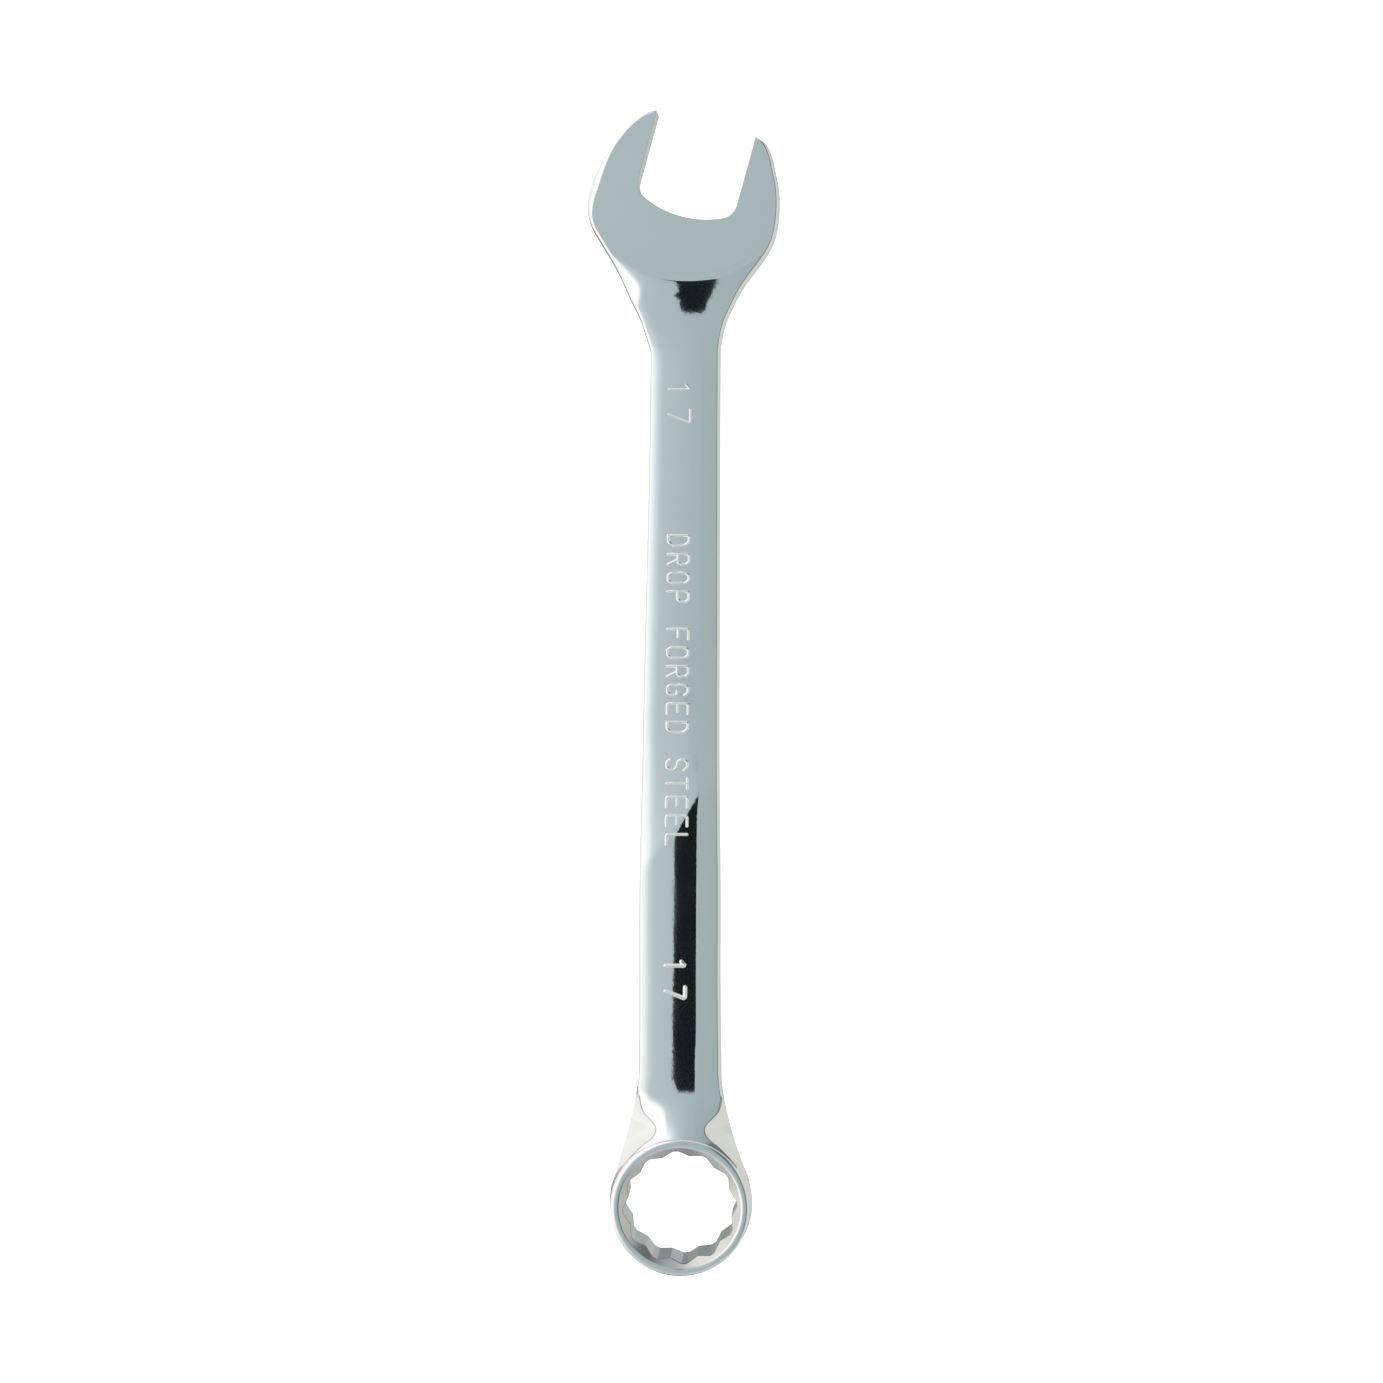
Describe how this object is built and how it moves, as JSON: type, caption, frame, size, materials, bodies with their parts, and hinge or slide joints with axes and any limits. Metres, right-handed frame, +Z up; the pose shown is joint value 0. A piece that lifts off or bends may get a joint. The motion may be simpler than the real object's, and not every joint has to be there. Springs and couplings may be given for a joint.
{
  "type": "combination wrench",
  "caption": "One-piece forged chromed wrench with an open end turned 15 degrees, a flat shank with raised marks, and a twelve-point ring end.",
  "frame": {"origin": "centre of the bottom of the bounding box, on the surface that the wrench lies on", "axes": "+Z up, out of the marked face; +Y along the shank from the ring end to the open end; +X to the right seen from above with the open end away"},
  "size_m": [0.0328, 0.1978, 0.013],
  "materials": {
    "chromed_steel": "polished"
  },
  "bodies": {
    "root": {"open_end_head": "chromed_steel", "open_end_neck": "chromed_steel", "shank": "chromed_steel", "ring_neck": "chromed_steel", "ring_head": "chromed_steel", "size_mark_open_end": "chromed_steel", "raised_legend": "chromed_steel", "size_mark_ring_end": "chromed_steel"}
  },
  "joints": []
}
